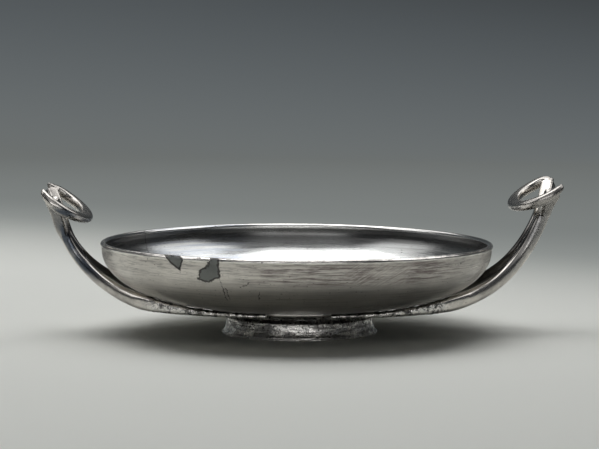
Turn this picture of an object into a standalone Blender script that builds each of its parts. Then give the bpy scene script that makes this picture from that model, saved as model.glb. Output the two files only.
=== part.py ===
# Silver stemless drinking cup: a shallow bowl on a low ring foot, with two
# upswept handles whose tops fold back inward into open loops.
# Metres, +Z up. The origin is on the standing surface, in the middle of the
# overall length. The handles lie along X.

import math
from dataclasses import dataclass

import bmesh
import bpy
from mathutils import Vector

# Bowl
RIM_RADIUS = 0.0753
RIM_HEIGHT = 0.0351
LIP_THICKNESS = 0.0022
LIP_HEIGHT = 0.0030
LIP_OVERHANG = 0.0005
WALL = 0.0015
WALL_ROUNDNESS = 2.4
FLOOR_DISH = 0.0004
UNDERSIDE_RISE = 0.0022
BOWL_LEAN = math.radians(0.40)

# Turned moulding under the bowl, round the top of the foot
MOULDING_RADIUS = 0.0336
MOULDING_HEIGHT = 0.0015
MOULDING_EDGE = 0.0003
UNDERSIDE_RECESS = 0.0007

# Foot
FOOT_RADIUS = 0.0299
FOOT_HEIGHT = 0.0093
FOOT_WAIST_RADIUS = 0.0280
FOOT_FLARE_HEIGHT = 0.0062
FOOT_FLARE_POWER = 2.2
FOOT_RIDGE = 0.0003
FOOT_EDGE_HEIGHT = 0.0007
FOOT_WALL = 0.0024
FOOT_REST_WIDTH = 0.0022
FOOT_OFFSET = 0.0013

# Handles
ROOT_END = 0.0120
ROOT_WIDTH = 0.0044
ROOT_THICKNESS = 0.0018
LIFT_OFF = 0.0570
LIFT_OFF_SPREAD = 0.0224
LIFT_OFF_THICKNESS = 0.0057
LEAVING_RISE = math.radians(9)
ARM_WIDTH = 0.0046
NECK_SPREAD = 0.0052
TIP_SPREAD = 0.0150
TIP_DEPTH = 0.0026
TIP_TAPER = 0.75
TIP_SETBACK = 0.0013
TIP_HEADING = (0.25, 0.55, 0.80)
LOOP_OPENING = math.radians(115)
LOOP_WIDTH = 0.0043
LOOP_BIGHT_WIDTH = 0.0038
LOOP_HEIGHT = 0.0041
LOOP_BIGHT_HEIGHT = 0.0032
ROLL_FADE = 0.7
BEAK_LENGTH = 0.0006
BEAK_SIZE = 0.55

# Squareness of the rounded bars: 2 is an ellipse, more is boxier
FLAT = 5.0
STRAP = 3.0
ROUND = 2.6

# How far the bends of an arm reach, as shares of the length they turn
NECK_BEND = 0.40
FLARE_BEND = 0.35
TIP_BEND = 0.28

SOLDER_GAP = 0.0003
MOULDING_CLEARANCE = 0.0004

# Number of flats and stations
BOWL_FLATS = 64
FOOT_FLATS = 48
WALL_STEPS = 11
LIP_STEPS = 6
FLARE_STEPS = 5
SECTION_POINTS = 12
ROOT_STATIONS = 7
STEM_STATIONS = 11
TIP_STATIONS = 5
LOOP_STATIONS = 25


@dataclass
class Handle:
    """One handle's own measures, from the bowl's axis and the standing surface."""

    name: str
    side: int
    loop_reach: float
    loop_rise: float
    loop_half_length: float
    loop_half_width: float
    loop_slope: float
    loop_roll: float
    tip_drop: float
    neck_reach: float
    neck_rise: float
    neck_steepness: float
    thickness: float
    belly: float

    @property
    def reach(self):
        """From the bowl's axis to the outermost point of the loop."""
        opening = -self.loop_half_length * math.cos(LOOP_OPENING)
        return self.loop_reach + opening + LOOP_WIDTH / 2


LEFT_HANDLE = Handle(
    name="handle_left",
    side=-1,
    loop_reach=0.0902,
    loop_rise=0.0524,
    loop_half_length=0.0110,
    loop_half_width=0.0172,
    loop_slope=math.radians(32.5),
    loop_roll=math.radians(3.9),
    tip_drop=0.0001,
    neck_reach=0.0877,
    neck_rise=0.0360,
    neck_steepness=math.radians(62.0),
    thickness=0.0042,
    belly=0.0090,
)
RIGHT_HANDLE = Handle(
    name="handle_right",
    side=1,
    loop_reach=0.0939,
    loop_rise=0.0571,
    loop_half_length=0.0120,
    loop_half_width=0.0164,
    loop_slope=math.radians(27.0),
    loop_roll=math.radians(5.6),
    tip_drop=0.0014,
    neck_reach=0.0938,
    neck_rise=0.0455,
    neck_steepness=math.radians(68.0),
    thickness=0.0050,
    belly=0.0200,
)

# The middle of the overall length is the origin, so the bowl's axis stands to one side of it.
BOWL_AXIS_X = (LEFT_HANDLE.reach - RIGHT_HANDLE.reach) / 2
FOOT_AXIS_X = BOWL_AXIS_X + FOOT_OFFSET

SEAT_HEIGHT = FOOT_HEIGHT + SOLDER_GAP
WALL_BASE_HEIGHT = SEAT_HEIGHT + MOULDING_HEIGHT
WALL_TOP_HEIGHT = RIM_HEIGHT - LIP_HEIGHT
WALL_RADIUS = RIM_RADIUS - LIP_OVERHANG


def clear_scene():
    for existing in list(bpy.data.objects):
        bpy.data.objects.remove(existing)


def silver(name, colour, roughness):
    material = bpy.data.materials.new(name)
    material.use_nodes = True
    shader = material.node_tree.nodes["Principled BSDF"]
    shader.inputs["Base Color"].default_value = (*colour, 1.0)
    shader.inputs["Metallic"].default_value = 1.0
    shader.inputs["Roughness"].default_value = roughness
    return material


def finished_object(name, mesh_edit, material):
    """Closes the edit into a mesh object with smooth round faces and crisp corners."""
    bmesh.ops.recalc_face_normals(mesh_edit, faces=mesh_edit.faces)
    mesh = bpy.data.meshes.new(name)
    mesh_edit.to_mesh(mesh)
    mesh_edit.free()
    mesh.shade_smooth()
    mesh.set_sharp_from_angle(angle=math.radians(35))
    mesh.materials.append(material)
    made = bpy.data.objects.new(name, mesh)
    bpy.context.scene.collection.objects.link(made)
    return made


def turned(profile, flats):
    """Spins a profile of (radius, height) points, from axis to axis or closed, round Z."""
    mesh_edit = bmesh.new()
    points = [mesh_edit.verts.new((radius, 0.0, height)) for radius, height in profile]
    for start, end in zip(points, points[1:]):
        mesh_edit.edges.new((start, end))
    if profile[0][0] > 0.0:
        mesh_edit.edges.new((points[-1], points[0]))
    bmesh.ops.spin(
        mesh_edit,
        geom=mesh_edit.verts[:] + mesh_edit.edges[:],
        axis=(0.0, 0.0, 1.0),
        angle=2 * math.pi,
        steps=flats,
        use_merge=True,
    )
    bmesh.ops.remove_doubles(mesh_edit, verts=mesh_edit.verts, dist=1e-6)
    return mesh_edit


# Bowl


def wall_point(turn, radius=WALL_RADIUS, height=WALL_TOP_HEIGHT):
    """A point of the wall's outside, from its foot (turn 0) to the lip (turn 1)."""
    angle = turn * math.pi / 2
    share = math.sin(angle) ** (2 / WALL_ROUNDNESS)
    swell = height - WALL_BASE_HEIGHT - UNDERSIDE_RISE
    return (
        MOULDING_RADIUS + (radius - MOULDING_RADIUS) * share,
        WALL_BASE_HEIGHT + UNDERSIDE_RISE * share + swell * (1 - math.cos(angle)),
    )


def underside_height(radius):
    """Height of the wall's outside at a radius between the moulding and the lip."""
    share = (radius - MOULDING_RADIUS) / (WALL_RADIUS - MOULDING_RADIUS)
    share = min(max(share, 0.0), 1.0)
    angle = math.asin(share ** (WALL_ROUNDNESS / 2))
    swell = WALL_TOP_HEIGHT - WALL_BASE_HEIGHT - UNDERSIDE_RISE
    return WALL_BASE_HEIGHT + UNDERSIDE_RISE * share + swell * (1 - math.cos(angle))


def inside_point(turn):
    """The wall's inside, one wall thickness square to its outside."""
    step = 0.001
    before = Vector(wall_point(max(turn - step, 0.0)))
    after = Vector(wall_point(min(turn + step, 1.0)))
    along = (after - before).normalized()
    outside = Vector(wall_point(turn))
    return tuple(outside + WALL * Vector((-along.y, along.x)))


def lip_points():
    """The rounded lip, from its outer flank over the top to the inside."""
    round_radius = LIP_THICKNESS / 2
    centre_radius = RIM_RADIUS - round_radius
    centre_height = RIM_HEIGHT - round_radius
    points = []
    for step in range(LIP_STEPS + 1):
        angle = math.radians(-25 + 205 * step / LIP_STEPS)
        points.append(
            (
                centre_radius + round_radius * math.cos(angle),
                centre_height + round_radius * math.sin(angle),
            )
        )
    return points


def bowl_profile():
    recess_height = SEAT_HEIGHT + UNDERSIDE_RECESS
    recess_radius = FOOT_WAIST_RADIUS - FOOT_WALL - UNDERSIDE_RECESS
    underside = [
        (0.0, recess_height),
        (recess_radius - UNDERSIDE_RECESS, recess_height),
        (recess_radius, SEAT_HEIGHT),
        (MOULDING_RADIUS - MOULDING_EDGE, SEAT_HEIGHT),
        (MOULDING_RADIUS, SEAT_HEIGHT + MOULDING_EDGE),
    ]
    turns = [step / WALL_STEPS for step in range(WALL_STEPS + 1)]
    outside = [wall_point(turn) for turn in turns]
    inside = [inside_point(turn) for turn in reversed(turns)]
    floor = [
        (MOULDING_RADIUS / 2, inside[-1][1] - FLOOR_DISH / 2),
        (0.0, inside[-1][1] - FLOOR_DISH),
    ]
    return underside + outside + lip_points() + inside + floor


def build_bowl(axis, material):
    bowl = finished_object("bowl", turned(bowl_profile(), BOWL_FLATS), material)
    bowl.parent = axis
    return bowl


# Foot


def flare_radius(height):
    """The foot's outside, hollowed between its edge and its ridge."""
    share = 1 - min(height / FOOT_FLARE_HEIGHT, 1.0)
    return (
        FOOT_WAIST_RADIUS + (FOOT_RADIUS - FOOT_WAIST_RADIUS) * share**FOOT_FLARE_POWER
    )


def foot_profile():
    flare = []
    for step in range(FLARE_STEPS + 1):
        height = FOOT_EDGE_HEIGHT + (FOOT_FLARE_HEIGHT - FOOT_EDGE_HEIGHT) * (
            step / FLARE_STEPS
        )
        flare.append((flare_radius(height), height))
    neck_height = (FOOT_HEIGHT + FOOT_FLARE_HEIGHT) / 2
    neck = [
        (FOOT_WAIST_RADIUS + FOOT_RIDGE, FOOT_FLARE_HEIGHT + FOOT_RIDGE),
        (FOOT_WAIST_RADIUS - FOOT_RIDGE, FOOT_FLARE_HEIGHT + 3 * FOOT_RIDGE),
        (FOOT_WAIST_RADIUS - 2 * FOOT_RIDGE, neck_height + FOOT_RIDGE),
        (FOOT_WAIST_RADIUS, FOOT_HEIGHT),
    ]
    inside = [
        (FOOT_WAIST_RADIUS - FOOT_WALL, FOOT_HEIGHT),
        (FOOT_WAIST_RADIUS - FOOT_WALL, FOOT_FLARE_HEIGHT),
        (flare_radius(FOOT_FLARE_HEIGHT / 2) - FOOT_WALL, FOOT_FLARE_HEIGHT / 2),
        (FOOT_RADIUS - FOOT_REST_WIDTH - FOOT_EDGE_HEIGHT / 2, FOOT_EDGE_HEIGHT),
        (FOOT_RADIUS - FOOT_REST_WIDTH, 0.0),
    ]
    edge = [
        (FOOT_RADIUS - FOOT_RIDGE / 2, 0.0),
        (FOOT_RADIUS, FOOT_EDGE_HEIGHT / 2),
    ]
    return edge + flare + neck + inside


def build_foot(material):
    mesh_edit = turned(foot_profile(), FOOT_FLATS)
    drop_per_metre = math.tan(BOWL_LEAN)
    for point in mesh_edit.verts:
        from_bowl_axis = point.co.x + FOOT_OFFSET
        point.co.z -= from_bowl_axis * drop_per_metre * (point.co.z / FOOT_HEIGHT)
    foot = finished_object("foot", mesh_edit, material)
    foot.location.x = FOOT_AXIS_X
    return foot


# Handles, in a frame with X outward from the bowl's axis and Y across


def loop_normal(handle):
    return Vector(
        (-math.tan(handle.loop_slope), -math.tan(handle.loop_roll), 1.0)
    ).normalized()


def loop_top(handle, angle):
    """The middle of the loop's flat top: its bight at 0, its tips at the opening angle."""
    inward = handle.loop_half_length * math.cos(angle)
    across = handle.loop_half_width * math.sin(angle)
    past_side = max(abs(angle) - math.pi / 2, 0.0) / (LOOP_OPENING - math.pi / 2)
    return Vector(
        (
            handle.loop_reach - inward,
            across,
            handle.loop_rise
            - inward * math.tan(handle.loop_slope)
            + across * math.tan(handle.loop_roll) * (1 - ROLL_FADE * past_side**2)
            - handle.tip_drop * past_side**2,
        )
    )


def loop_stations(handle):
    """Centre, width, height and squareness round the loop, beak to beak."""
    normal = loop_normal(handle)
    stations = []
    for step in range(LOOP_STATIONS):
        angle = LOOP_OPENING * (2 * step / (LOOP_STATIONS - 1) - 1)
        bight = max(math.cos(angle), 0.0) ** 2
        width = LOOP_WIDTH + (LOOP_BIGHT_WIDTH - LOOP_WIDTH) * bight
        height = LOOP_HEIGHT + (LOOP_BIGHT_HEIGHT - LOOP_HEIGHT) * bight
        centre = loop_top(handle, angle) - normal * height / 2
        stations.append((centre, width, height, FLAT, ROUND))
    for end, before, at in ((0, 1, 0), (-1, -2, LOOP_STATIONS + 1)):
        centre, width, height, *squareness = stations[end]
        heading = (centre - stations[before][0]).normalized()
        beak = centre + heading * BEAK_LENGTH
        stations.insert(at, (beak, width * BEAK_SIZE, height * BEAK_SIZE, *squareness))
    return stations


def seat_spread(out):
    """Half the distance between the arms where they lie against the bowl."""
    root_spread = MOULDING_RADIUS + MOULDING_CLEARANCE + ROOT_WIDTH / 2
    share = (out - ROOT_END) / (LIFT_OFF - ROOT_END)
    return root_spread + (LIFT_OFF_SPREAD - root_spread) * share**2


def seat_size(out):
    """Width and thickness of an arm along its seat, from its flat root to the lift-off."""
    share = (out - ROOT_END) / (LIFT_OFF - ROOT_END)
    return (
        ROOT_WIDTH + (ARM_WIDTH - ROOT_WIDTH) * share,
        ROOT_THICKNESS + (LIFT_OFF_THICKNESS - ROOT_THICKNESS) * share**3,
    )


def seat_centre(out):
    spread = seat_spread(out)
    width, thickness = seat_size(out)
    inner_edge = math.hypot(out, spread - width / 2)
    height = underside_height(inner_edge) - SOLDER_GAP - thickness / 2
    return Vector((out, spread, height))


def bezier(corners, share):
    """A point on the cubic curve of four corners."""
    rest = 1 - share
    weights = (rest**3, 3 * rest**2 * share, 3 * rest * share**2, share**3)
    return sum((w * c for w, c in zip(weights, corners)), Vector((0, 0, 0)))


def arm_stations(handle, across):
    """Centre, width, thickness and squareness along one arm, from its root to the loop."""
    stations = []
    for step in range(ROOT_STATIONS):
        out = ROOT_END + (LIFT_OFF - ROOT_END) * step / (ROOT_STATIONS - 1)
        width, thickness = seat_size(out)
        stations.append((seat_centre(out), width, thickness, FLAT, STRAP))

    lift, behind = stations[-1][0], stations[-2][0]
    leaving = (lift - behind).normalized()
    leaving.z = math.sin(LEAVING_RISE)
    steepness = handle.neck_steepness
    rising = Vector((math.cos(steepness), 0.0, math.sin(steepness)))
    neck = Vector((handle.neck_reach, NECK_SPREAD, handle.neck_rise))
    tip = loop_top(handle, LOOP_OPENING * across)
    tip += Vector((-TIP_SETBACK, 0.0, -TIP_DEPTH))
    tip.y = TIP_SPREAD
    neck_bend = rising * (neck - lift).length * NECK_BEND
    to_neck = (lift, lift + leaving * handle.belly, neck - neck_bend, neck)
    flare = (tip - neck).length
    flare_bend = rising * flare * FLARE_BEND
    tip_bend = Vector(TIP_HEADING) * flare * TIP_BEND
    to_tip = (neck, neck + flare_bend, tip - tip_bend, tip)
    for step in range(1, STEM_STATIONS + 1):
        share = step / STEM_STATIONS
        thickness = (
            LIFT_OFF_THICKNESS + (handle.thickness - LIFT_OFF_THICKNESS) * share
        )
        stations.append((bezier(to_neck, share), ARM_WIDTH, thickness, ROUND, ROUND))
    for step in range(1, TIP_STATIONS + 1):
        centre = bezier(to_tip, step / TIP_STATIONS)
        stations.append((centre, ARM_WIDTH, handle.thickness, ROUND, ROUND))
    centre, width, thickness, *squareness = stations[-1]
    stations[-1] = (centre, width * TIP_TAPER, thickness * TIP_TAPER, *squareness)
    for centre, *_ in stations:
        centre.y *= across
    return stations


def section(width, height, top_squareness, bottom_squareness):
    """A rounded box as (across, up) points."""
    points = []
    for step in range(SECTION_POINTS):
        angle = 2 * math.pi * (step + 0.5) / SECTION_POINTS
        cosine, sine = math.cos(angle), math.sin(angle)
        power = 2 / (top_squareness if sine > 0 else bottom_squareness)
        points.append(
            (
                math.copysign(abs(cosine) ** power, cosine) * width / 2,
                math.copysign(abs(sine) ** power, sine) * height / 2,
            )
        )
    return points


def swept(mesh_edit, stations, up):
    """Sweeps rounded sections along the stations and caps both ends."""
    centres = [centre for centre, *_ in stations]
    rings = []
    for index, (centre, *size) in enumerate(stations):
        ahead = centres[min(index + 1, len(centres) - 1)]
        behind = centres[max(index - 1, 0)]
        along = (ahead - behind).normalized()
        sideways = up.cross(along).normalized()
        upward = along.cross(sideways)
        rings.append(
            [
                mesh_edit.verts.new(centre + sideways * across + upward * above)
                for across, above in section(*size)
            ]
        )
    for ring, following in zip(rings, rings[1:]):
        for index in range(SECTION_POINTS):
            neighbour = (index + 1) % SECTION_POINTS
            mesh_edit.faces.new(
                (ring[index], ring[neighbour], following[neighbour], following[index])
            )
    mesh_edit.faces.new(rings[0])
    mesh_edit.faces.new(rings[-1])
    return rings


def seat_arm(rings):
    """Presses an arm's root against the bowl's underside, one solder gap below it."""
    for ring in rings:
        for point in ring:
            radius = math.hypot(point.co.x, point.co.y)
            if radius < WALL_RADIUS:
                limit = underside_height(radius) - SOLDER_GAP
                point.co.z = min(point.co.z, limit)


def handle_body(handle, name, stations, up, material, seated=False):
    """One swept length of a handle as an object of its own."""
    mesh_edit = bmesh.new()
    rings = swept(mesh_edit, stations, up)
    if seated:
        seat_arm(rings)
    for point in mesh_edit.verts:
        point.co.x *= handle.side
    return finished_object(name, mesh_edit, material)


def build_handle(handle, axis, material):
    """The loop with both arms joined to it, as one cast piece."""
    upward = Vector((0.0, 0.0, 1.0))
    made = handle_body(
        handle, handle.name, loop_stations(handle), loop_normal(handle), material
    )
    for label, across in (("near", -1), ("far", 1)):
        arm = handle_body(
            handle,
            f"{handle.name}_{label}_arm",
            arm_stations(handle, across),
            upward,
            material,
            seated=True,
        )
        arm.hide_render = True
        arm.display_type = "WIRE"
        arm.parent = axis
        join = made.modifiers.new(f"join_{label}_arm", "BOOLEAN")
        join.operation = "UNION"
        join.solver = "EXACT"
        join.object = arm
    made.parent = axis
    return made


def build_cup():
    clear_scene()
    bowl_silver = silver("bowl_silver", (0.62, 0.61, 0.58), 0.30)
    foot_silver = silver("foot_silver", (0.50, 0.49, 0.47), 0.42)
    handle_silver = silver("handle_silver", (0.60, 0.59, 0.56), 0.30)

    axis = bpy.data.objects.new("bowl_axis", None)
    bpy.context.scene.collection.objects.link(axis)
    axis.location = (BOWL_AXIS_X, 0.0, 0.0)
    axis.rotation_euler = (0.0, BOWL_LEAN, 0.0)

    build_bowl(axis, bowl_silver)
    build_foot(foot_silver)
    for handle in (LEFT_HANDLE, RIGHT_HANDLE):
        build_handle(handle, axis, handle_silver)


build_cup()
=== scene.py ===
import math

import bmesh
import bpy
import numpy as np
from mathutils import Matrix, Vector, noise


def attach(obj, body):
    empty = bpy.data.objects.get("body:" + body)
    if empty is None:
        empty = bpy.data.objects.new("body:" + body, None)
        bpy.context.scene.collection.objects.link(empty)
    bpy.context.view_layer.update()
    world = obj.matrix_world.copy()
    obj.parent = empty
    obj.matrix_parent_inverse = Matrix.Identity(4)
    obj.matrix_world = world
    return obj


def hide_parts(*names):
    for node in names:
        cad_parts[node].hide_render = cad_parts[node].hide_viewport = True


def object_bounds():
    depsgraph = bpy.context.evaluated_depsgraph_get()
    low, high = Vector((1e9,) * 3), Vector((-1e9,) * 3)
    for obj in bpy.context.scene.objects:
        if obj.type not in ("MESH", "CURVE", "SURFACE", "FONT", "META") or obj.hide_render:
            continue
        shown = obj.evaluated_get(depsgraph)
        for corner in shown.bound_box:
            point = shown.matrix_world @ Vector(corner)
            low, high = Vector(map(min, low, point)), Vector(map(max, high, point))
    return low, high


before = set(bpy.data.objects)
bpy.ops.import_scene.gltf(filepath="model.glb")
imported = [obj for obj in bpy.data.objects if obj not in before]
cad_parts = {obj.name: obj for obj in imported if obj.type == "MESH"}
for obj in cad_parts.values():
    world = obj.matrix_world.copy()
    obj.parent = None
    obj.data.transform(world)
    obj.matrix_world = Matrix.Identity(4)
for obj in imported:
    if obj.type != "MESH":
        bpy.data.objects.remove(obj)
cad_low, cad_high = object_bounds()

# The cup's measures as its solids have them: lengths in metres, arcs in degrees,
# and powers, shares and directions as plain numbers
RIM_RADIUS = 0.07526
RIM_HEIGHT = 0.0351
LIP_THICKNESS = 0.0022
LIP_ARC_FROM = -42
LIP_ARC_SPAN = 222
BACK_RISE = 0.0008
WALL = 0.0015
WALL_ROUNDNESS = 2.4
FLOOR_DISH = 0.0004
UNDERSIDE_RISE = 0.0022
BOWL_LEAN = math.radians(0.40)
BOWL_AXIS_X = -0.00206
MOULDING_RADIUS = 0.0336
MOULDING_EDGE = 0.0003
UNDERSIDE_RECESS = 0.0007
FOOT_AXIS_X = -0.00076
FOOT_RADIUS = 0.0299
FOOT_HEIGHT = 0.0093
FOOT_WAIST_RADIUS = 0.0280
FOOT_FLARE_HEIGHT = 0.0062
FOOT_FLARE_POWER = 2.2
FOOT_RIDGE = 0.0003
FOOT_BEAD = 0.00045
FOOT_BEAD_ARC_FROM = -70
FOOT_BEAD_ARC_SPAN = 190
FOOT_FLARE_START = 0.0011
FOOT_WALL = 0.0024
FOOT_REST_WIDTH = 0.0022
SEAT_HEIGHT = 0.0096
WALL_BASE_HEIGHT = 0.0111
WALL_TOP_HEIGHT = 0.0324
WALL_RADIUS = 0.0748
ROOT_END = 0.0120
ROOT_WIDTH = 0.0044
ROOT_THICKNESS = 0.0018
LIFT_OFF = 0.0570
LIFT_OFF_SPREAD = 0.0224
LIFT_OFF_THICKNESS = 0.0057
LEAVING_RISE = math.radians(9)
ARM_WIDTH = 0.0046
NECK_SPREAD = 0.0052
TIP_SPREAD = 0.0150
TIP_DEPTH = 0.0028
TIP_CAP = 0.0011
TIP_HEADING = (0.36, 0.54, 0.76)
LOOP_OPENING = math.radians(115)
LOOP_END = math.radians(111)
LOOP_BANK = math.radians(7)
LOOP_TAPER = math.radians(38)
LOOP_THINNING = 0.32
LOOP_WIDTH = 0.0043
LOOP_WIDTH_OUTSIDE = 0.0038
LOOP_BIGHT_WIDTH = 0.0050
LOOP_HEIGHT = 0.0041
LOOP_BIGHT_HEIGHT = 0.0032
ROLL_FADE = 0.7
NECK_BEND = 0.40
FLARE_BEND = 0.35
TIP_BEND = 0.38
TIP_SWELL = 0.02
TIP_SPLAY = 0.0004
SOLDER_GAP = 0.00003
MOULDING_CLEARANCE = 0.0004

# How square the corners of the bars are: outer, inner and bottom, or all alike
LOOP_CORNERS = (2.7, 6.0, 2.4)
SEAT_CORNERS = (5.0, 5.0, 3.0)
STEM_CORNERS = 2.6
TIP_CORNERS = 6.0

# Traces of hand work and age in the shape; grains are in waves per metre
HAMMERING = 0.00006
HAMMERING_GRAIN = 60
HAMMERING_START = 0.01
NOTCH_DEPTH = 0.0005
NOTCH_WIDTH = 0.0012
SOLDER_LUMPS = 0.00020
SOLDER_GRAIN = 700
SOLDER_PAST_LIFT_OFF = 0.002
SOLDER_FADE = 0.006

LEFT = {
    "name": "handle_left",
    "side": -1,
    "reach": 0.0902,
    "rise": 0.0524,
    "half_length": 0.0110,
    "half_width": 0.0172,
    "slope": math.radians(32.5),
    "roll": math.radians(3.9),
    "tip_drop": 0.0001,
    "tip_reach": -0.0002,
    "tip_skew": 0.0014,
    "loop_cap": 0.0023,
    "neck": (0.0877, NECK_SPREAD, 0.0360),
    "steepness": math.radians(62.0),
    "thickness": 0.0042,
    "belly": 0.0090,
}
RIGHT = {
    "name": "handle_right",
    "side": 1,
    "reach": 0.0939,
    "rise": 0.0571,
    "half_length": 0.0117,
    "half_width": 0.0164,
    "slope": math.radians(27.0),
    "roll": math.radians(5.6),
    "tip_drop": 0.0009,
    "tip_reach": -0.0006,
    "tip_skew": 0.0012,
    "loop_cap": 0.0018,
    "neck": (0.0938, NECK_SPREAD, 0.0455),
    "steepness": math.radians(68.0),
    "thickness": 0.0050,
    "belly": 0.0200,
}

# How finely the surfaces are divided, and how much they are eased
BOWL_FLATS = 480
WALL_STEPS = 44
FLOOR_STEPS = 16
LIP_STEPS = 18
LIP_INSIDE_STEPS = 6
FOOT_BEAD_STEPS = 6
AXIS_HOLE = 0.00005
SHARP_ANGLE = math.radians(40)
FOOT_FLATS = 420
FLARE_STEPS = 16
SECTION_POINTS = 36
LOOP_STATIONS = 150
SKIN_SIZE = 0.00026
SPECK_POINTS = 1000
ROOT_STATIONS = 90
STEM_STATIONS = 110
TIP_STATIONS = 30
CAP_STATIONS = 12
POINT_STOP = 0.2
CAP_STOP = 0.35
LIFT_OFF_EASING = (36, 110)
NECK_EASING = (8, 8)
SKIN_EASING = 12

scene = bpy.context.scene


# Shader building


class Shader:
    """A node material, with short calls for the nodes it is made from."""

    def __init__(self, name):
        self.material = bpy.data.materials.new(name)
        self.material.use_nodes = True
        self.tree = self.material.node_tree
        self.tree.nodes.clear()
        self.output = self.tree.nodes.new("ShaderNodeOutputMaterial")
        coordinates = self.tree.nodes.new("ShaderNodeTexCoord")
        self.point = coordinates.outputs["Object"]
        split = self.node("ShaderNodeSeparateXYZ", self.point)
        self.x, self.y, self.z = split.outputs[0], split.outputs[1], split.outputs[2]
        flat = self.node("ShaderNodeCombineXYZ", self.x, self.y, 0.0)
        self.radius = self.vector("LENGTH", flat.outputs[0])

    def plug(self, socket, value):
        if isinstance(value, bpy.types.NodeSocket):
            self.tree.links.new(value, socket)
        elif value is not None:
            socket.default_value = value

    def node(self, kind, *values):
        made = self.tree.nodes.new(kind)
        for socket, value in zip(made.inputs, values):
            self.plug(socket, value)
        return made

    def math(self, operation, a, b=None, c=None):
        made = self.tree.nodes.new("ShaderNodeMath")
        made.operation = operation
        for socket, value in zip(made.inputs, (a, b, c)):
            self.plug(socket, value)
        return made.outputs[0]

    def vector(self, operation, a, b=None):
        made = self.tree.nodes.new("ShaderNodeVectorMath")
        made.operation = operation
        self.plug(made.inputs[0], a)
        self.plug(made.inputs[1], b)
        return made.outputs["Value" if operation in ("LENGTH", "DOT_PRODUCT") else 0]

    def stretched(self, along, across):
        """Coordinates that draw a pattern out round the cup's axis."""
        height = self.math("ADD", self.z, self.radius)
        return self.node(
            "ShaderNodeCombineXYZ",
            self.math("MULTIPLY", self.x, along),
            self.math("MULTIPLY", self.y, along),
            self.math("MULTIPLY", height, across),
        ).outputs[0]

    def noise(self, vector, scale, detail, roughness):
        made = self.tree.nodes.new("ShaderNodeTexNoise")
        self.plug(made.inputs["Vector"], vector)
        self.plug(made.inputs["Scale"], scale)
        self.plug(made.inputs["Detail"], detail)
        self.plug(made.inputs["Roughness"], roughness)
        return made.outputs["Fac"]

    def ramp(self, value, low, high, to_low=0.0, to_high=1.0):
        made = self.tree.nodes.new("ShaderNodeMapRange")
        made.interpolation_type = "SMOOTHSTEP"
        for socket, given in zip(made.inputs, (value, low, high, to_low, to_high)):
            self.plug(socket, given)
        return made.outputs[0]

    def band(self, value, low, high, soft):
        """1 between low and high, fading to 0 over the soft width outside them."""
        rise = self.ramp(value, low - soft, low)
        fall = self.ramp(value, high, high + soft, 1.0, 0.0)
        return self.math("MULTIPLY", rise, fall)

    def mix(self, factor, a, b):
        made = self.tree.nodes.new("ShaderNodeMix")
        made.data_type = "RGBA"
        self.plug(made.inputs[0], factor)
        self.plug(made.inputs[6], a)
        self.plug(made.inputs[7], b)
        return made.outputs[2]

    def dot(self, x, z, direction, less):
        """How far along a direction on the side of the bowl a point lies."""
        rest = self.math("MULTIPLY_ADD", z, direction.y, -less)
        return self.math("MULTIPLY_ADD", x, direction.x, rest)

    def outside_of(self, corners, x, z):
        """How far a point lies outside a convex shape on the side of the bowl."""
        corners = [Vector(corner) for corner in corners]
        middle = sum(corners, Vector((0.0, 0.0))) / len(corners)
        farthest = None
        for start, end in zip(corners, corners[1:] + corners[:1]):
            edge = (end - start).normalized()
            normal = Vector((edge.y, -edge.x))
            if normal.dot(start - middle) < 0:
                normal.negate()
            side = self.dot(x, z, normal, normal.dot(start))
            farthest = side if farthest is None else self.math("MAXIMUM", farthest, side)
        return farthest

    def off_line(self, start, end, x, z):
        """How far a point lies from a straight scratch on the side of the bowl."""
        start, end = Vector(start), Vector(end)
        along = (end - start).normalized()
        across = Vector((along.y, -along.x))
        middle = (start + end) / 2
        beside = self.math("ABSOLUTE", self.dot(x, z, across, across.dot(middle)))
        lengthwise = self.math("ABSOLUTE", self.dot(x, z, along, along.dot(middle)))
        beyond = self.math("SUBTRACT", lengthwise, (end - start).length / 2)
        return self.math("MAXIMUM", beside, beyond)

    def least(self, values):
        smallest = values[0]
        for value in values[1:]:
            smallest = self.math("MINIMUM", smallest, value)
        return smallest

    def times(self, *values):
        product = values[0]
        for value in values[1:]:
            product = self.math("MULTIPLY", product, value)
        return product

    def finish(self, colour, metallic, roughness, height):
        """The last shader of a metal; its height is in metres."""
        shader = self.tree.nodes.new("ShaderNodeBsdfPrincipled")
        self.plug(shader.inputs["Base Color"], colour)
        self.plug(shader.inputs["Metallic"], metallic)
        self.plug(shader.inputs["Roughness"], roughness)
        bump = self.tree.nodes.new("ShaderNodeBump")
        bump.inputs["Strength"].default_value = 1.0
        bump.inputs["Distance"].default_value = 1.0
        self.plug(bump.inputs["Height"], height)
        self.plug(shader.inputs["Normal"], bump.outputs[0])
        self.plug(self.output.inputs["Surface"], shader.outputs[0])
        return self.material


# Colours of the metal and of what lies on it, and of the painted shade, painted highlights
# and painted reflections put on it
BRIGHT = (0.90, 0.875, 0.84, 1.0)
SILVER = (0.71, 0.675, 0.625, 1.0)
COOL_SILVER = (0.69, 0.70, 0.69, 1.0)
TARNISH_AND_SHADE = (0.30, 0.285, 0.27, 1.0)
GRIME_AND_SHADE = (0.035, 0.033, 0.032, 1.0)
DARK_BLUE = (0.085, 0.10, 0.125, 1.0)
CORROSION = (0.105, 0.072, 0.072, 1.0)
FILL = (0.18, 0.19, 0.18, 1.0)
FILL_PALE = (0.26, 0.27, 0.255, 1.0)
CRUST_AND_SHADE = (0.14, 0.135, 0.13, 1.0)
BLUISH = (0.56, 0.60, 0.66, 1.0)

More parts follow.
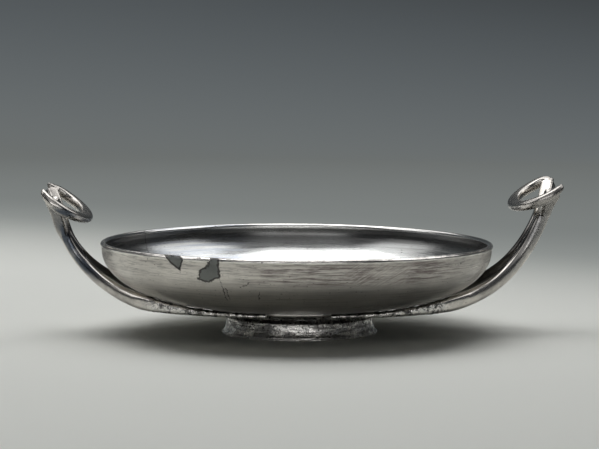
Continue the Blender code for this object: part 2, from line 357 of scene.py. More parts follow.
# How deep the finest relief goes, in metres
SCRATCH_RELIEF = 0.000008
STREAK_RELIEF = 0.00003
CORROSION_DEPTH = 0.00002
OUTLINE_DEPTH = 0.00006
MARK_DEPTH = 0.00005
FOOT_PIT_DEPTH = 0.00016
FOOT_STREAK_RELIEF = 0.00012
DENT_RELIEF = 0.00005
GRAIN_RELIEF = 0.000003
SOLDER_RELIEF = 0.00030

# Where a look begins and is complete, in metres along one direction
FRONT_HALF = (-0.004, -0.001)
LIP_UP = (0.0332, 0.0338)
LIP_OUT = (0.0726, 0.0732)
INSIDE_ENDS = (0.058, 0.072)
SHADE_TO_THE_RIGHT = (-0.02, 0.06)
UNDER_LIP = (0.0245, 0.0318)
UNDER_LIP_TOP = (0.0338, 0.0343)
DARK_BASE = (0.0112, 0.0136)
RUBBED_UP = (0.022, 0.031)
FILLED = (-0.00010, 0.00002)
MARKED = (0.00010, 0.00026)
SEAM_UP = (0.02, 0.024)
FOOT_BEAD_UP = (0.0008, 0.0012)
SOLDERED_OUT = (0.052, 0.060)
SOLDERED_UP = (0.022, 0.026)
SHADED_UNDERSIDE_UP = (0.030, 0.044)
STEM_UP = (0.018, 0.026)
STEM_TOP = (0.048, 0.051)
BIGHT_OUT = (0.0770, 0.0860)
BIGHT_UP = (0.038, 0.042)
TIPS_OUT = (0.0946, 0.0964)
RIGHT_TIPS_FURTHER = 0.0042
INNER_FACE_TOP = (0.036, 0.046)
INNER_FACE_OUT = (0.055, 0.060)

# Bands, in metres: where they lie, from and to, and the soft width outside them
REFLECTION_ACROSS = (-0.055, -0.024, 0.008)
MOULDING_EDGE_UP = (0.0104, 0.0111, 0.0002)
CORROSION_ACROSS = (-0.006, 0.042, 0.024)
CORROSION_UP = (0.0268, 0.0322, 0.0028)
SLANTED_ACROSS = (0.021, 0.036, 0.006)
FILL_OUTLINE = (-0.00012, 0.00030, 0.00025)

CORROSION_SLANT = 0.5
RAGGEDNESS = 0.0024
SEAM_WIDTH = (0.002, 0.006)

# Old repairs and marks on the bowl's front, as (x, z) in the bowl's own frame
FILLS = (
    (
        (-0.0481, 0.0346),
        (-0.0440, 0.0352),
        (-0.0422, 0.0339),
        (-0.0434, 0.0304),
        (-0.0464, 0.0326),
    ),
    (
        (-0.0318, 0.0348),
        (-0.0294, 0.0347),
        (-0.0294, 0.0304),
        (-0.0334, 0.0308),
    ),
    (
        (-0.0333, 0.0320),
        (-0.0297, 0.0312),
        (-0.0290, 0.0283),
        (-0.0328, 0.0263),
        (-0.0362, 0.0271),
        (-0.0359, 0.0299),
    ),
)
SCRATCHES = (
    ((-0.0285, 0.0263), (-0.0262, 0.0192)),
    ((-0.0268, 0.0240), (-0.0250, 0.0196)),
    ((-0.0148, 0.0231), (-0.0145, 0.0198)),
    ((-0.0210, 0.0249), (-0.0182, 0.0265)),
    ((-0.0372, 0.0347), (-0.0356, 0.0346)),
    ((-0.0422, 0.0336), (-0.0437, 0.0301)),
    ((-0.0290, 0.0336), (-0.0288, 0.0262)),
)
RIM_CRACK = ((-0.0312, 0.0351), (-0.0233, 0.0346))
SEAM_AZIMUTH = math.radians(145)


def bowl_darkness(s, streaks, clouds, lip, inside):
    """How dark the bowl's colour is, from 0 to 1: tarnish in clouds and streaks, darker
    towards both ends inside, painted shade towards the right outside, and less dark on the
    lip for its painted highlight.
    """
    worn = s.times(s.ramp(clouds, 0.35, 0.7), 0.25)
    dark = s.math("ADD", worn, s.ramp(streaks, 0.46, 0.74, 0.0, 0.35))
    if inside:
        ends = s.ramp(s.math("ABSOLUTE", s.x), *INSIDE_ENDS, 0.0, 0.4)
        dark = s.math("ADD", dark, ends)
    else:
        # painted shade: the outside darker towards the right
        dark = s.math("ADD", dark, s.ramp(s.x, *SHADE_TO_THE_RIGHT, 0.0, 0.36))
    # the lip's painted highlight takes some darkness away
    dark = s.math("MINIMUM", s.math("ADD", dark, s.times(lip, -0.25)), 1.0)
    return s.math("MAXIMUM", dark, 0.0)


def reflection_and_shade_inside(s, colour, streaks):
    """Painted reflection, bluish, at the far left, and painted shade in a dark band under
    the lip.
    """
    # painted reflection: a bluish patch on the far wall at the left
    bluish_reflection = s.times(
        s.band(s.x, *REFLECTION_ACROSS),
        s.ramp(s.y, 0.0, 0.02),
        s.ramp(streaks, 0.40, 0.60),
    )
    colour = s.mix(s.times(bluish_reflection, 0.8), colour, BLUISH)
    # painted shade: a dark band under the lip
    under_lip = s.times(s.ramp(s.z, *UNDER_LIP), s.ramp(s.z, *UNDER_LIP_TOP, 1.0, 0.0))
    return s.mix(s.times(under_lip, 0.82), colour, GRIME_AND_SHADE)


def shade_highlight_and_streaks_outside(s, colour):
    """Painted shade above the moulding, a painted highlight on its edge, and darker rubbed
    streaks below the lip.
    """
    # painted shade in the recess above the moulding
    colour = s.mix(s.ramp(s.z, *DARK_BASE, 0.75, 0.0), colour, GRIME_AND_SHADE)
    # painted highlight along the moulding's edge
    edge = s.band(s.z, *MOULDING_EDGE_UP)
    colour = s.mix(s.times(edge, 0.9), colour, BRIGHT)
    rubbed = s.noise(s.stretched(150.0, 1500.0), 1.0, 4.0, 0.7)
    rubbed = s.times(s.ramp(rubbed, 0.50, 0.60), s.ramp(s.z, *RUBBED_UP, 0.06, 0.45))
    return s.mix(rubbed, colour, CRUST_AND_SHADE)


def corrosion(s, clouds, front):
    """Brown corrosion in broken lines, slanting towards the right."""
    turned = Vector((math.cos(CORROSION_SLANT), math.sin(CORROSION_SLANT)))
    along = s.dot(s.x, s.z, turned, 0.0)
    across = s.dot(s.x, s.z, Vector((-turned.y, turned.x)), 0.0)
    slanting = s.node(
        "ShaderNodeCombineXYZ",
        s.math("MULTIPLY", along, 130.0),
        s.math("MULTIPLY", across, 2100.0),
        0.0,
    ).outputs[0]
    level = s.ramp(s.noise(s.stretched(60.0, 1400.0), 1.0, 5.0, 0.75), 0.44, 0.56)
    slant = s.ramp(s.noise(slanting, 1.0, 5.0, 0.75), 0.44, 0.56)
    slanted = s.times(s.band(s.x, *SLANTED_ACROSS), 0.7)
    lines = s.math(
        "ADD",
        s.times(level, s.math("SUBTRACT", 1.0, slanted)),
        s.times(slant, slanted),
    )
    zone = s.times(
        s.band(s.x, *CORROSION_ACROSS),
        s.band(s.z, *CORROSION_UP),
        s.ramp(clouds, 0.30, 0.52, 0.55, 1.0),
        front,
    )
    return s.times(lines, zone, 0.8)


def single_marks(s, x, z, front, inside):
    """Cracks and single scratches, and inside the bowl its seam."""
    marks = s.least([s.off_line(*ends, x, z) for ends in (RIM_CRACK, *SCRATCHES)])
    marked = s.times(s.ramp(marks, *MARKED, 1.0, 0.0), front)
    broken = s.ramp(s.noise(s.point, 1400.0, 2.0, 0.5), 0.38, 0.52, 0.15, 1.0)
    marked = s.times(marked, broken, 0.9)
    if inside:
        azimuth = s.math("ARCTAN2", s.y, s.x)
        off = s.math("ABSOLUTE", s.math("SUBTRACT", azimuth, SEAM_AZIMUTH))
        seam = s.times(s.ramp(off, *SEAM_WIDTH, 1.0, 0.0), s.ramp(s.z, *SEAM_UP))
        marked = s.math("MAXIMUM", marked, s.times(seam, broken, 0.85))
    return marked


def bowl_silver(name, inside):
    s = Shader(name)
    clouds = s.noise(s.point, 45.0, 4.0, 0.6)
    streaks = s.noise(s.stretched(22.0, 700.0), 1.0, 5.0, 0.65)
    scratches = s.noise(s.stretched(60.0, 3600.0), 1.0, 3.0, 0.7)
    specks = s.noise(s.point, 1100.0, 2.0, 0.5)
    front = s.ramp(s.y, *FRONT_HALF, 1.0, 0.0)
    lip = s.times(s.ramp(s.z, *LIP_UP), s.ramp(s.radius, *LIP_OUT))
    dark = bowl_darkness(s, streaks, clouds, lip, inside)
    colour = s.mix(dark, COOL_SILVER if inside else SILVER, TARNISH_AND_SHADE)
    # painted highlight: the lip's top lighter; it is also made smoother below
    colour = s.mix(s.times(lip, 0.6), colour, BRIGHT)
    if inside:
        colour = reflection_and_shade_inside(s, colour, streaks)
    else:
        colour = shade_highlight_and_streaks_outside(s, colour)
    fine = s.ramp(scratches, 0.56, 0.72)
    colour = s.mix(s.times(fine, 0.6), colour, GRIME_AND_SHADE if inside else CRUST_AND_SHADE)
    colour = s.mix(s.ramp(specks, 0.69, 0.73, 0.0, 0.8), colour, GRIME_AND_SHADE)
    roughness = s.ramp(streaks, 0.3, 0.7, 0.20 if inside else 0.27, 0.36)
    roughness = s.math("ADD", roughness, s.times(lip, -0.10))
    height = s.math(
        "ADD", s.times(scratches, SCRATCH_RELIEF), s.times(streaks, STREAK_RELIEF)
    )
    if not inside:
        corroded = corrosion(s, clouds, front)
        colour = s.mix(corroded, colour, CORROSION)
        roughness = s.math("ADD", roughness, s.times(corroded, 0.2))
        height = s.math("ADD", height, s.times(corroded, -CORROSION_DEPTH))

    # ragged edges for what was cut or scratched by hand
    wobble = s.math("SUBTRACT", s.noise(s.point, 620.0, 3.0, 0.6), 0.5)
    slide = s.math("MULTIPLY", wobble, RAGGEDNESS)
    x = s.math("ADD", s.x, slide)
    z = s.math("SUBTRACT", s.z, s.math("MULTIPLY", slide, 0.7))

    # grey fills through the wall, with a dark line round them
    fill = s.least([s.outside_of(corners, x, z) for corners in FILLS])
    filled = s.times(s.ramp(fill, *FILLED, 1.0, 0.0), front)
    outline = s.times(s.band(fill, *FILL_OUTLINE), front)
    grey = s.mix(s.noise(s.point, 500.0, 3.0, 0.6), FILL, FILL_PALE)
    colour = s.mix(filled, colour, grey)
    colour = s.mix(s.times(outline, 0.9), colour, GRIME_AND_SHADE)
    metallic = s.math("SUBTRACT", 1.0, filled)
    roughness = s.math("ADD", s.times(roughness, metallic), s.times(filled, 0.62))
    height = s.math("ADD", height, s.times(outline, -OUTLINE_DEPTH))

    marked = single_marks(s, x, z, front, inside)
    colour = s.mix(marked, colour, GRIME_AND_SHADE)
    height = s.math("ADD", height, s.times(marked, -MARK_DEPTH))
    return s.finish(colour, metallic, roughness, height)


def foot_silver(name):
    s = Shader(name)
    clouds = s.noise(s.stretched(190.0, 420.0), 1.0, 5.0, 0.6)
    streaks = s.noise(s.stretched(90.0, 1500.0), 1.0, 4.0, 0.65)
    spots = s.noise(s.point, 1000.0, 3.0, 0.65)
    colour = s.mix(s.ramp(streaks, 0.50, 0.58), BRIGHT, TARNISH_AND_SHADE)
    colour = s.mix(s.ramp(clouds, 0.50, 0.56, 0.0, 0.7), colour, CRUST_AND_SHADE)
    colour = s.mix(s.ramp(spots, 0.57, 0.60), colour, GRIME_AND_SHADE)
    # painted highlight along the foot's bottom bead
    bead_highlight = s.ramp(s.z, *FOOT_BEAD_UP, 1.0, 0.0)
    colour = s.mix(s.times(bead_highlight, 0.6), colour, BRIGHT)
    roughness = s.ramp(clouds, 0.35, 0.65, 0.20, 0.36)
    height = s.math(
        "ADD", s.times(spots, -FOOT_PIT_DEPTH), s.times(streaks, FOOT_STREAK_RELIEF)
    )
    return s.finish(colour, 1.0, roughness, height)


def darken_handle(s, colour, clouds, out):
    """Painted shade on the handles' undersides, bights and faces towards the bowl, painted
    reflection on the stems' faces, and darker loop tips.
    """
    facing = s.tree.nodes.new("ShaderNodeNewGeometry").outputs["Normal"]
    facing = s.node("ShaderNodeSeparateXYZ", facing)
    facing_x, facing_y, facing_z = facing.outputs[0], facing.outputs[1], facing.outputs[2]
    # painted shade on downward faces under the loops
    underside = s.times(
        s.ramp(facing_z, -0.95, -0.30, 0.7, 0.0), s.ramp(s.z, *SHADED_UNDERSIDE_UP)
    )
    colour = s.mix(underside, colour, CRUST_AND_SHADE)
    # painted reflection: the stems' faces towards and away from the front darker and
    # bluish, most on the left handle
    stem = s.times(
        s.ramp(s.math("ABSOLUTE", facing_y), 0.58, 0.90),
        s.ramp(clouds, 0.30, 0.50, 0.7, 0.97),
        s.ramp(s.z, *STEM_UP),
        s.ramp(s.z, *STEM_TOP, 1.0, 0.0),
        s.ramp(s.x, -0.01, 0.0, 1.0, 0.4),
    )
    colour = s.mix(stem, colour, DARK_BLUE)
    # painted shade on the bight's sides and undersides
    bight = s.times(
        s.ramp(facing_z, -0.15, 0.35, 0.9, 0.0),
        s.ramp(out, *BIGHT_OUT, 1.0, 0.0),
        s.ramp(s.z, *BIGHT_UP),
    )
    colour = s.mix(bight, colour, DARK_BLUE)
    further = s.ramp(s.x, -0.001, 0.001, 0.0, RIGHT_TIPS_FURTHER)
    tips = s.ramp(s.math("SUBTRACT", out, further), *TIPS_OUT, 0.0, 0.85)
    colour = s.mix(tips, colour, CRUST_AND_SHADE)
    # painted shade on the faces towards the bowl
    outward = s.math("MULTIPLY", facing_x, s.math("SIGN", s.x))
    inner_face = s.times(
        s.ramp(outward, -0.62, -0.25, 0.9, 0.0),
        s.ramp(s.z, *INNER_FACE_TOP, 1.0, 0.0),
        s.ramp(out, *INNER_FACE_OUT),
    )
    return s.mix(inner_face, colour, GRIME_AND_SHADE)


def handle_silver(name):
    s = Shader(name)
    clouds = s.noise(s.point, 90.0, 4.0, 0.6)
    spots = s.noise(s.point, 1100.0, 3.0, 0.6)
    dents = s.noise(s.point, 170.0, 2.0, 0.5)
    colour = s.mix(s.ramp(clouds, 0.36, 0.66, 0.05, 0.75), SILVER, TARNISH_AND_SHADE)
    colour = s.mix(s.ramp(spots, 0.64, 0.72, 0.0, 0.6), colour, GRIME_AND_SHADE)

    # rough solder where the arms lie under the bowl, with dark pits; its lighter colour is
    # partly the solder's own and partly a painted highlight on its lumps
    out = s.math("ABSOLUTE", s.math("SUBTRACT", s.x, BOWL_AXIS_X))
    soldered = s.times(
        s.ramp(out, *SOLDERED_OUT, 1.0, 0.0), s.ramp(s.z, *SOLDERED_UP, 1.0, 0.0)
    )
    lumps = s.noise(s.point, 620.0, 4.0, 0.65)
    colour = s.mix(s.times(soldered, 0.9), colour, BRIGHT)
    pits = s.times(soldered, s.ramp(lumps, 0.51, 0.55))
    colour = s.mix(s.times(pits, 0.8), colour, GRIME_AND_SHADE)

    colour = darken_handle(s, colour, clouds, out)
    roughness = s.ramp(clouds, 0.3, 0.7, 0.19, 0.28)
    height = s.math("ADD", s.times(dents, DENT_RELIEF), s.times(spots, GRAIN_RELIEF))
    height = s.math("ADD", height, s.times(soldered, lumps, SOLDER_RELIEF))
    return s.finish(colour, 1.0, roughness, height)


# Meshes


def place(name, points, faces, materials, face_materials=None):
    mesh = bpy.data.meshes.new(name)
    mesh.from_pydata([tuple(p) for p in points], [], faces)
    for material in materials:
        mesh.materials.append(material)
    if face_materials is not None:
        mesh.polygons.foreach_set("material_index", face_materials)
    mesh.shade_smooth()
    mesh.set_sharp_from_angle(angle=SHARP_ANGLE)
    made = bpy.data.objects.new(name, mesh)
    scene.collection.objects.link(made)
    return made


def spun(profile, flats):
    """Points and faces of a closed profile of (radius, height) points spun round Z."""
    rows = len(profile)
    points = []
    for step in range(flats):
        angle = 2 * math.pi * step / flats
        cosine, sine = math.cos(angle), math.sin(angle)
        points.extend((r * cosine, r * sine, z) for r, z in profile)
    faces = []
    for step in range(flats):
        here, there = step * rows, ((step + 1) % flats) * rows
        for row in range(rows):
            after = (row + 1) % rows
            faces.append((here + row, there + row, there + after, here + after))
    return points, faces


def wall_point(turn):
    """Radius and height on the wall's outside, from its base at 0 to its top at 1."""
    angle = turn * math.pi / 2
    share = math.sin(angle) ** (2 / WALL_ROUNDNESS)
    swell = WALL_TOP_HEIGHT - WALL_BASE_HEIGHT - UNDERSIDE_RISE
    return (
        MOULDING_RADIUS + (WALL_RADIUS - MOULDING_RADIUS) * share,
        WALL_BASE_HEIGHT + UNDERSIDE_RISE * share + swell * (1 - math.cos(angle)),
    )


def underside_height(radius):
    """The height of the wall's outside at a radius."""
    share = (radius - MOULDING_RADIUS) / (WALL_RADIUS - MOULDING_RADIUS)
    share = min(max(share, 0.0), 1.0)
    angle = math.asin(share ** (WALL_ROUNDNESS / 2))
    swell = WALL_TOP_HEIGHT - WALL_BASE_HEIGHT - UNDERSIDE_RISE
    return WALL_BASE_HEIGHT + UNDERSIDE_RISE * share + swell * (1 - math.cos(angle))


def inside_point(turn):
    """The point on the wall's inside that lies across from wall_point(turn)."""
    step = 0.001
    before = Vector(wall_point(max(turn - step, 0.0)))
    after = Vector(wall_point(min(turn + step, 1.0)))
    along = (after - before).normalized()
    return tuple(Vector(wall_point(turn)) + WALL * Vector((-along.y, along.x)))


def hand_worked(x, y, z):
    """A point of the bowl as hammering and wear left it."""
    radius = math.hypot(x, y)
    share = min(max(y / RIM_RADIUS, 0.0), 1.0) * z / RIM_HEIGHT
    rise = BACK_RISE * share**2
    free = min(max((radius - MOULDING_RADIUS) / HAMMERING_START, 0.0), 1.0)
    dent = noise.noise(Vector((x, y, z * 1.6)) * HAMMERING_GRAIN) - 0.5
    wave = HAMMERING * free * dent
    notch = Vector((x, y)) - RIM_RADIUS * Vector(
        (math.cos(SEAM_AZIMUTH), math.sin(SEAM_AZIMUTH))
    )
    if z > RIM_HEIGHT - LIP_THICKNESS:
        rise -= NOTCH_DEPTH * math.exp(-((notch.length / NOTCH_WIDTH) ** 2))
        wave /= 3
    scale = 1 + wave / max(radius, MOULDING_RADIUS)
    return x * scale, y * scale, z + rise


def build_bowl(outside, inside):
    recess = SEAT_HEIGHT + UNDERSIDE_RECESS
    recess_radius = FOOT_WAIST_RADIUS - FOOT_WALL - UNDERSIDE_RECESS
    outer = [
        (AXIS_HOLE, recess),
        (recess_radius / 2, recess),
        (recess_radius - UNDERSIDE_RECESS, recess),
        (recess_radius, SEAT_HEIGHT),
        (MOULDING_RADIUS - MOULDING_EDGE, SEAT_HEIGHT),
        (MOULDING_RADIUS, SEAT_HEIGHT + MOULDING_EDGE),
    ]
    turns = [step / WALL_STEPS for step in range(WALL_STEPS + 1)]
    outer += [wall_point(turn) for turn in turns]
    half = LIP_THICKNESS / 2
    for step in range(LIP_STEPS + 1):
        angle = math.radians(LIP_ARC_FROM + LIP_ARC_SPAN * step / LIP_STEPS)
        outer.append(
            (
                RIM_RADIUS - half + half * math.cos(angle),
                RIM_HEIGHT - half + half * math.sin(angle),
            )
        )
    inner = [inside_point(turn) for turn in reversed(turns)]
    floor_radius, floor_height = inner[-1]
    for step in range(1, FLOOR_STEPS + 1):
        share = 1 - step / FLOOR_STEPS
        radius = max(floor_radius * share, AXIS_HOLE)
        inner.append((radius, floor_height - FLOOR_DISH * (1 - share**2)))
    profile = outer + inner
    points, faces = spun(profile, BOWL_FLATS)
    points = [hand_worked(*point) for point in points]
    rows = len(profile)
    outside_rows = len(outer) - LIP_INSIDE_STEPS
    index = [0 if face % rows < outside_rows else 1 for face in range(len(faces))]
    bowl = place("bowl_body", points, faces, [outside, inside], index)
    bowl.matrix_world = Matrix.Translation((BOWL_AXIS_X, 0, 0)) @ Matrix.Rotation(
        BOWL_LEAN, 4, "Y"
    )
    return bowl


def build_foot(material):
    outer = [(FOOT_RADIUS - FOOT_BEAD, 0.0)]
    for step in range(FOOT_BEAD_STEPS + 1):
        turned = FOOT_BEAD_ARC_SPAN * step / FOOT_BEAD_STEPS
        angle = math.radians(FOOT_BEAD_ARC_FROM + turned)
        outer.append(
            (
                FOOT_RADIUS - FOOT_BEAD + FOOT_BEAD * math.cos(angle),
                FOOT_BEAD + FOOT_BEAD * math.sin(angle),
            )
        )
    for step in range(FLARE_STEPS + 1):
        height = FOOT_FLARE_START + (FOOT_FLARE_HEIGHT - FOOT_FLARE_START) * (
            step / FLARE_STEPS
        )
        share = (1 - height / FOOT_FLARE_HEIGHT) ** FOOT_FLARE_POWER
        outer.append(
            (FOOT_WAIST_RADIUS + (FOOT_RADIUS - FOOT_WAIST_RADIUS) * share, height)
        )
    neck = (FOOT_HEIGHT + FOOT_FLARE_HEIGHT) / 2
    outer += [
        (FOOT_WAIST_RADIUS + FOOT_RIDGE, FOOT_FLARE_HEIGHT + FOOT_RIDGE),
        (FOOT_WAIST_RADIUS + FOOT_RIDGE / 2, FOOT_FLARE_HEIGHT + 2 * FOOT_RIDGE),
        (FOOT_WAIST_RADIUS - FOOT_RIDGE, FOOT_FLARE_HEIGHT + 3 * FOOT_RIDGE),
        (FOOT_WAIST_RADIUS - 2 * FOOT_RIDGE, neck + FOOT_RIDGE),
        (FOOT_WAIST_RADIUS - FOOT_RIDGE, (neck + FOOT_HEIGHT) / 2),
        (FOOT_WAIST_RADIUS, SEAT_HEIGHT - SOLDER_GAP),
    ]
    inner = [
        (FOOT_WAIST_RADIUS - FOOT_WALL, SEAT_HEIGHT - SOLDER_GAP),
        (FOOT_WAIST_RADIUS - FOOT_WALL, FOOT_FLARE_HEIGHT),
        (FOOT_RADIUS - FOOT_REST_WIDTH - FOOT_RIDGE, FOOT_FLARE_START),
        (FOOT_RADIUS - FOOT_REST_WIDTH, 0.0),
    ]
    points, faces = spun(outer + inner, FOOT_FLATS)
    lean = math.tan(BOWL_LEAN)
    offset = FOOT_AXIS_X - BOWL_AXIS_X
    points = [
        (x, y, z - (x + offset) * lean * z / FOOT_HEIGHT) for x, y, z in points
    ]
    foot = place("foot_ring", points, faces, [material])
    foot.matrix_world = Matrix.Translation((FOOT_AXIS_X, 0, 0))
    return foot


# Handles


def loop_normal(h):
    return Vector((-math.tan(h["slope"]), -math.tan(h["roll"]), 1.0)).normalized()


def loop_top(h, angle):
    """A point on the middle of the loop's upper face; angle 0 is nearest the bowl."""
    inward = h["half_length"] * math.cos(angle)
    across = h["half_width"] * math.sin(angle)
    past = max(abs(angle) - math.pi / 2, 0.0) / (LOOP_OPENING - math.pi / 2)
    return Vector(
        (
            h["reach"] - inward,
            across,
            h["rise"]
            - inward * math.tan(h["slope"])
            + across * math.tan(h["roll"]) * (1 - ROLL_FADE * past**2)
            - h["tip_drop"] * past**2,
        )
    )


def loop_stations(h):
    """Centre, width, height, squareness and bank round the loop, end to end."""
    normal = loop_normal(h)
    stations = []
    for step in range(LOOP_STATIONS):
        angle = LOOP_END * (2 * step / (LOOP_STATIONS - 1) - 1)
        bight = max(math.cos(angle), 0.0) ** 2
        width = LOOP_WIDTH + (LOOP_BIGHT_WIDTH - LOOP_WIDTH) * bight
        height = LOOP_HEIGHT + (LOOP_BIGHT_HEIGHT - LOOP_HEIGHT) * bight
        ending = max(abs(angle) - LOOP_END + LOOP_TAPER, 0.0) / LOOP_TAPER
        thinning = 1 - LOOP_THINNING * ending**2
        width *= thinning
        height *= thinning
        middle = loop_top(h, angle) - normal * height / 2
        outward = (middle - Vector((h["reach"], 0.0, middle.z))).normalized()
        middle -= outward * (width - LOOP_WIDTH_OUTSIDE) / 2 * bight
        stations.append((middle, width, height, *LOOP_CORNERS, LOOP_BANK))
    ends = pointed(stations, h["loop_cap"], normal)
    return pointed(ends[::-1], h["loop_cap"], normal)[::-1]


def pointed(stations, length, normal):
    """Lets the far end of the loop run out in a rounded point, its top kept."""
    centre, width, height, *rest = stations[-1]
    heading = (centre - stations[-3][0]).normalized()
    ended = list(stations)
    for step in range(1, CAP_STATIONS + 1):
        turn = math.pi / 2 * step / (CAP_STATIONS + POINT_STOP)
        size = math.cos(turn)
        lift = normal * height * (1 - size**0.8) / 2
        ended.append(
            (
                centre + heading * length * math.sin(turn) + lift,
                width * size**0.7,
                height * size**0.8,
                *rest,
            )
        )
    return ended


def capped(stations, length):
    """Rounds off the far end of a bar."""
    centre, width, height, *rest = stations[-1]
    heading = (centre - stations[-2][0]).normalized()
    rounded = list(stations)
    for step in range(1, CAP_STATIONS + 1):
        turn = math.pi / 2 * step / (CAP_STATIONS + CAP_STOP)
        size = math.cos(turn)
        rounded.append(
            (
                centre + heading * length * math.sin(turn),
                width * size,
                height * size,
                *rest,
            )
        )
    return rounded


def seat_spread(out):
    """How far an arm lies to the side, at a distance out from the bowl's axis."""
    root_spread = MOULDING_RADIUS + MOULDING_CLEARANCE + ROOT_WIDTH / 2
    share = (out - ROOT_END) / (LIFT_OFF - ROOT_END)
    return root_spread + (LIFT_OFF_SPREAD - root_spread) * share**2


def seat_size(out):
    """Width and thickness of an arm where it lies under the bowl."""
    share = (out - ROOT_END) / (LIFT_OFF - ROOT_END)
    return (
        ROOT_WIDTH + (ARM_WIDTH - ROOT_WIDTH) * share,
        ROOT_THICKNESS + (LIFT_OFF_THICKNESS - ROOT_THICKNESS) * share**3,
    )


def seat_centre(out):
    spread = seat_spread(out)
    width, thickness = seat_size(out)
    inner_edge = math.hypot(out, spread - width / 2)
    height = underside_height(inner_edge) - SOLDER_GAP - thickness / 2
    return Vector((out, spread, height))


def bezier(corners, share):
    rest = 1 - share
    weights = (rest**3, 3 * rest**2 * share, 3 * rest * share**2, share**3)
    return sum((w * c for w, c in zip(weights, corners)), Vector((0, 0, 0)))


def arm_stations(h, across):
    """Centre, width, thickness, squareness and bank along an arm, root to tip."""
    stations = []
    for step in range(ROOT_STATIONS):
        out = ROOT_END + (LIFT_OFF - ROOT_END) * step / (ROOT_STATIONS - 1)
        width, thickness = seat_size(out)
        stations.append([seat_centre(out), width, thickness, *SEAT_CORNERS, 0.0])
    lift = stations[-1][0]
    behind = seat_centre(LIFT_OFF - (LIFT_OFF - ROOT_END) / 6)
    leaving = (lift - behind).normalized()
    leaving.z = math.sin(LEAVING_RISE)
    rising = Vector((math.cos(h["steepness"]), 0.0, math.sin(h["steepness"])))
    neck = Vector(h["neck"])
    tip = loop_top(h, LOOP_END * across)
    tip += Vector((h["tip_reach"] + h["tip_skew"] * across, 0.0, -TIP_DEPTH))
    tip.y = TIP_SPREAD
    to_neck = (
        lift,
        lift + leaving * h["belly"],
        neck - rising * (neck - lift).length * NECK_BEND,
        neck,
    )
    flare = (tip - neck).length
    to_tip = (
        neck,
        neck + rising * flare * FLARE_BEND,
        tip - Vector(TIP_HEADING) * flare * TIP_BEND,
        tip,
    )
    for step in range(1, STEM_STATIONS + 1):
        share = step / STEM_STATIONS
        thickness = LIFT_OFF_THICKNESS + (h["thickness"] - LIFT_OFF_THICKNESS) * share
        easing = min(share * 6, 1.0)
        corners = [seat + (STEM_CORNERS - seat) * easing for seat in SEAT_CORNERS]
        centre = bezier(to_neck, share)
        stations.append([centre, ARM_WIDTH, thickness, *corners, 0.0])
    for step in range(1, TIP_STATIONS + 1):
        share = step / TIP_STATIONS
        corners = STEM_CORNERS + (TIP_CORNERS - STEM_CORNERS) * share
        thickness = h["thickness"] * (1 + TIP_SWELL * share)
        centre, width = bezier(to_tip, share), ARM_WIDTH + TIP_SPLAY * share
        stations.append([centre, width, thickness, corners, corners, corners, 0.0])
    smooth_path(stations, ROOT_STATIONS, *LIFT_OFF_EASING)
    smooth_path(stations, ROOT_STATIONS + STEM_STATIONS, *NECK_EASING)
    stations = capped([tuple(station) for station in stations], TIP_CAP)
    for centre, *_ in stations:
        centre.y *= across
    return stations


def smooth_path(stations, around, reach, passes):
    """Eases the bend and the swelling of a bar round one station."""
    for _ in range(passes):
        before = [(station[0].copy(), station[2]) for station in stations]
        for index in range(around - reach, around + reach):
            if 0 < index < len(stations) - 1:
                (left, thin), (right, thick) = before[index - 1], before[index + 1]
                middle, size = before[index]
                stations[index][0] = middle / 2 + (left + right) / 4
                stations[index][2] = size / 2 + (thin + thick) / 4


def section(width, height, outer, inner, bottom):
    """Points round a bar; the larger a corner's number, the squarer it is."""
    points = []
    for step in range(SECTION_POINTS):
        angle = 2 * math.pi * (step + 0.5) / SECTION_POINTS
        cosine, sine = math.cos(angle), math.sin(angle)
        top = outer if cosine > 0 else inner
        power = 2 / (top if sine > 0 else bottom)
        points.append(
            (
                math.copysign(abs(cosine) ** power, cosine) * width / 2,
                math.copysign(abs(sine) ** power, sine) * height / 2,
            )
        )
    return points


def swept(stations, up, side, seated):
    """Points and faces of a bar; a seated one stays under the bowl."""
    centres = [centre for centre, *_ in stations]
    points = []
    for index, (centre, *size) in enumerate(stations):
        ahead = centres[min(index + 1, len(centres) - 1)]
        behind = centres[max(index - 1, 0)]
        along = (ahead - behind).normalized()
        sideways = up.cross(along).normalized()
        upward = along.cross(sideways)
        *size, bank = size
        for across, above in section(*size):
            across, above = (
                across * math.cos(bank) - above * math.sin(bank),
                across * math.sin(bank) + above * math.cos(bank),
            )
            point = centre + sideways * across + upward * above
            radius = math.hypot(point.x, point.y)
            if seated and radius < WALL_RADIUS:
                point.z = min(point.z, underside_height(radius) - SOLDER_GAP)
            point.x *= side
            points.append(point)
    faces = []
    for row in range(len(stations) - 1):
        for index in range(SECTION_POINTS):
            here, after = index, (index + 1) % SECTION_POINTS
            start, end = row * SECTION_POINTS, (row + 1) * SECTION_POINTS
            faces.append((start + here, start + after, end + after, end + here))
    last = (len(stations) - 1) * SECTION_POINTS
    faces.append(tuple(reversed(range(SECTION_POINTS))))
    faces.append(tuple(range(last, last + SECTION_POINTS)))
    if side > 0:
        faces = [tuple(reversed(face)) for face in faces]
    return points, faces


